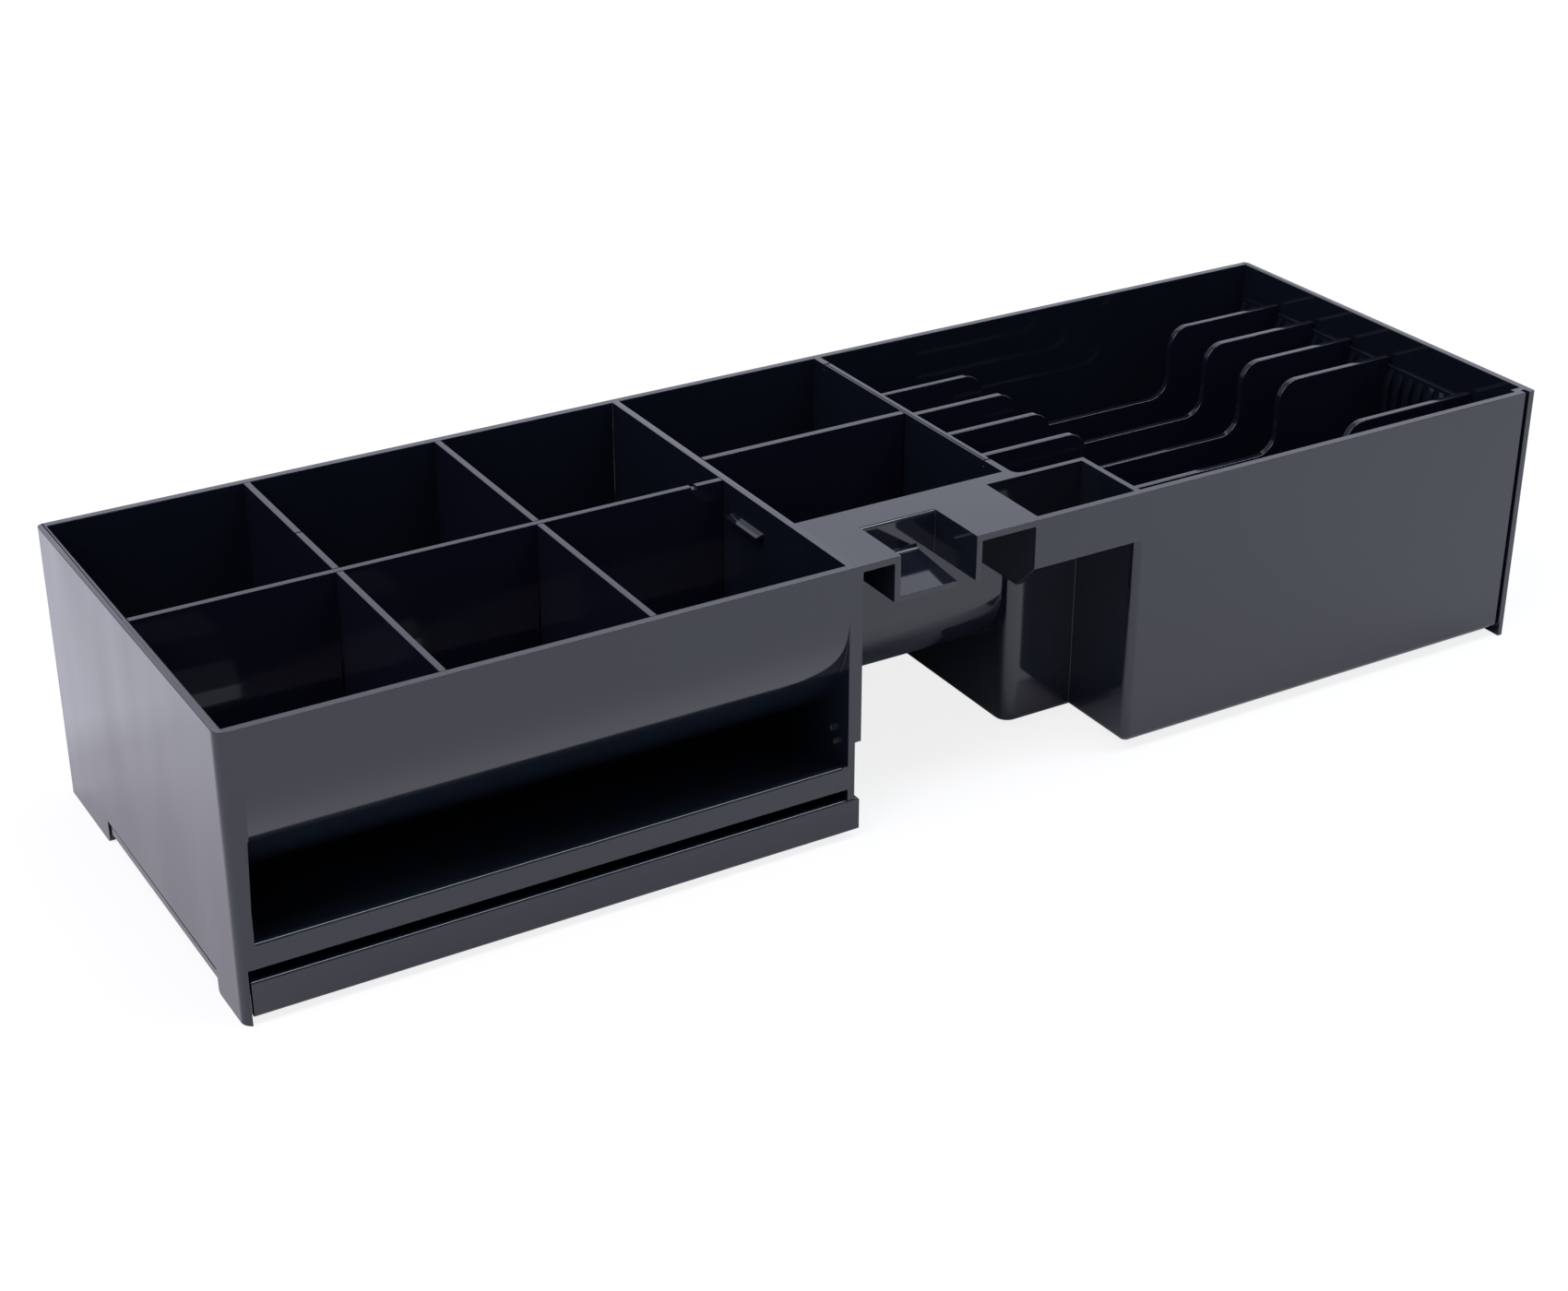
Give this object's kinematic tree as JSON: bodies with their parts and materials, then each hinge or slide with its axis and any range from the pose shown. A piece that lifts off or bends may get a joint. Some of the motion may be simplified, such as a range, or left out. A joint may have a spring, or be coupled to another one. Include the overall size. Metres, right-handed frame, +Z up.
{
  "type": "cash drawer insert",
  "caption": "Long black plastic cash drawer insert with coin cups, an upright note bay with lift-out dividers and a slide-out slip tray.",
  "frame": {"origin": "middle of the insert's plan, on the surface that it stands on", "axes": "+X along the length towards the note bay, -Y towards the cashier, +Z up"},
  "size_m": [0.44, 0.143, 0.087],
  "materials": {
    "body": "gloss",
    "divider": "gloss",
    "tray": "gloss"
  },
  "bodies": {
    "insert": {"left_end_wall": "body", "right_end_wall": "body", "rear_wall": "body", "note_front_wall": "body", "coin_end_wall": "body", "coin_note_partition": "body", "bay_step_back_wall": "body", "bay_step_side_wall": "body", "note_bay_floor": "body", "small_pocket_floor": "body", "small_pocket_wall": "body", "lock_deck": "body", "latch_pocket": "body", "coin_cup_floor": "body", "lock_cup_floor": "body", "storage_shelf": "body", "tray_rail_left": "body", "tray_rail_right": "body", "coin_column_divider_1": "divider", "coin_column_divider_2": "divider", "coin_row_divider": "divider", "lock_row_divider": "divider", "divider_comb_left": "body", "divider_comb_right": "body", "divider_comb_step": "body"},
    "slip_tray_body": {"slip_tray": "tray"},
    "divider_1": {"note_divider_1": "divider"},
    "divider_2": {"note_divider_2": "divider"},
    "divider_3": {"note_divider_3": "divider"},
    "divider_4": {"note_divider_4": "divider"},
    "divider_5": {"note_divider_5": "divider"}
  },
  "joints": [
    {"name": "tray_slide", "type": "slide", "parent": "insert", "child": "slip_tray_body", "axis": [0, -1, 0], "range_m": [0, 0.1]},
    {"name": "divider_1_lift", "type": "slide", "parent": "insert", "child": "divider_1", "axis": [0, 0, 1], "range_m": [0, 0.085]},
    {"name": "divider_2_lift", "type": "slide", "parent": "insert", "child": "divider_2", "axis": [0, 0, 1], "range_m": [0, 0.085]},
    {"name": "divider_3_lift", "type": "slide", "parent": "insert", "child": "divider_3", "axis": [0, 0, 1], "range_m": [0, 0.085]},
    {"name": "divider_4_lift", "type": "slide", "parent": "insert", "child": "divider_4", "axis": [0, 0, 1], "range_m": [0, 0.085]},
    {"name": "divider_5_lift", "type": "slide", "parent": "insert", "child": "divider_5", "axis": [0, 0, 1], "range_m": [0, 0.085]}
  ]
}
